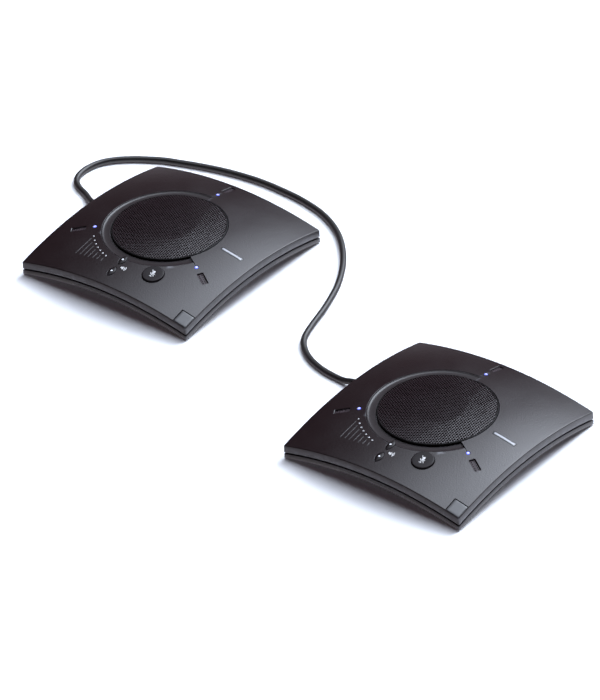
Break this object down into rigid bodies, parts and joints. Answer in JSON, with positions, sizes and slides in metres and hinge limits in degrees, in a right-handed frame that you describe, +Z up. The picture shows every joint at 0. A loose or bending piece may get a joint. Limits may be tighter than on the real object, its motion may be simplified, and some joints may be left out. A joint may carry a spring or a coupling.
{
  "type": "conference speakerphone pair",
  "caption": "Square domed table speakerphones joined by a cable, each with a round grille, mute and volume buttons, microphone slots, small status lights and rubber feet.",
  "frame": {"origin": "midway between the two pods, on the table they stand on", "axes": "+X from the left pod to the right pod along their front sides, +Y from the front sides, with the buttons, to the back sides, +Z up"},
  "size_m": [0.7783, 0.4063, 0.0468],
  "materials": {
    "graphite_plastic": "satin, fine texture",
    "grille_steel": "satin black, perforated",
    "key_plastic": "semi-gloss",
    "blue_lens": "clear, lit",
    "white_lens": "diffuse, lit",
    "microphone_black": "matt",
    "plate": "satin",
    "badge_plastic": "satin",
    "cone_paper": "matt",
    "steel": "plain",
    "magnet": "plain",
    "board": "solder resist",
    "silicone": "matt",
    "foot_rubber": "matt",
    "socket_plastic": "satin",
    "cord_jacket": "satin"
  },
  "bodies": {
    "pair": {"left_top_cover": "graphite_plastic", "left_base_cover": "graphite_plastic", "left_grille_bezel": "graphite_plastic", "left_speaker_grille": "grille_steel", "left_microphone_right": "microphone_black", "left_microphone_back": "microphone_black", "left_microphone_left": "microphone_black", "left_status_light_right": "blue_lens", "left_status_light_back": "blue_lens", "left_status_light_left": "blue_lens", "left_level_lights": "white_lens", "left_corner_badge": "badge_plastic", "left_nameplate": "plate", "left_speaker_frame": "steel", "left_speaker_cone": "cone_paper", "left_speaker_magnet": "magnet", "left_main_board": "board", "left_jack_board": "board", "left_button_pad": "silicone", "left_link_jack": "socket_plastic", "left_usb_jack": "socket_plastic", "left_link_plug": "socket_plastic", "left_foot_front_left": "foot_rubber", "left_foot_front_right": "foot_rubber", "left_foot_back_left": "foot_rubber", "left_foot_back_right": "foot_rubber", "right_top_cover": "graphite_plastic", "right_base_cover": "graphite_plastic", "right_grille_bezel": "graphite_plastic", "right_speaker_grille": "grille_steel", "right_microphone_right": "microphone_black", "right_microphone_back": "microphone_black", "right_microphone_left": "microphone_black", "right_status_light_right": "blue_lens", "right_status_light_back": "blue_lens", "right_status_light_left": "blue_lens", "right_level_lights": "white_lens", "right_corner_badge": "badge_plastic", "right_nameplate": "plate", "right_speaker_frame": "steel", "right_speaker_cone": "cone_paper", "right_speaker_magnet": "magnet", "right_main_board": "board", "right_jack_board": "board", "right_button_pad": "silicone", "right_link_jack": "socket_plastic", "right_usb_jack": "socket_plastic", "right_link_plug": "socket_plastic", "right_foot_front_left": "foot_rubber", "right_foot_front_right": "foot_rubber", "right_foot_back_left": "foot_rubber", "right_foot_back_right": "foot_rubber", "link_cord": "cord_jacket"},
    "left_mute_button": {"left_mute_button": "key_plastic"},
    "left_volume_up_button": {"left_volume_up_button": "key_plastic"},
    "left_volume_down_button": {"left_volume_down_button": "key_plastic"},
    "right_mute_button": {"right_mute_button": "key_plastic"},
    "right_volume_up_button": {"right_volume_up_button": "key_plastic"},
    "right_volume_down_button": {"right_volume_down_button": "key_plastic"}
  },
  "joints": [
    {"name": "left_mute_press", "type": "slide", "parent": "pair", "child": "left_mute_button", "axis": [-0.0885, 0.1684, -0.9817], "range_m": [0, 0.001], "stiffness_N_per_m": 800},
    {"name": "left_volume_up_press", "type": "slide", "parent": "pair", "child": "left_volume_up_button", "axis": [0.005, 0.1672, -0.9859], "range_m": [0, 0.0008], "stiffness_N_per_m": 600},
    {"name": "left_volume_down_press", "type": "slide", "parent": "pair", "child": "left_volume_down_button", "axis": [0.005, 0.2075, -0.9782], "range_m": [0, 0.0008], "stiffness_N_per_m": 600},
    {"name": "right_mute_press", "type": "slide", "parent": "pair", "child": "right_mute_button", "axis": [-0.0885, 0.1684, -0.9817], "range_m": [0, 0.001], "stiffness_N_per_m": 800},
    {"name": "right_volume_up_press", "type": "slide", "parent": "pair", "child": "right_volume_up_button", "axis": [0.005, 0.1672, -0.9859], "range_m": [0, 0.0008], "stiffness_N_per_m": 600},
    {"name": "right_volume_down_press", "type": "slide", "parent": "pair", "child": "right_volume_down_button", "axis": [0.005, 0.2075, -0.9782], "range_m": [0, 0.0008], "stiffness_N_per_m": 600}
  ]
}
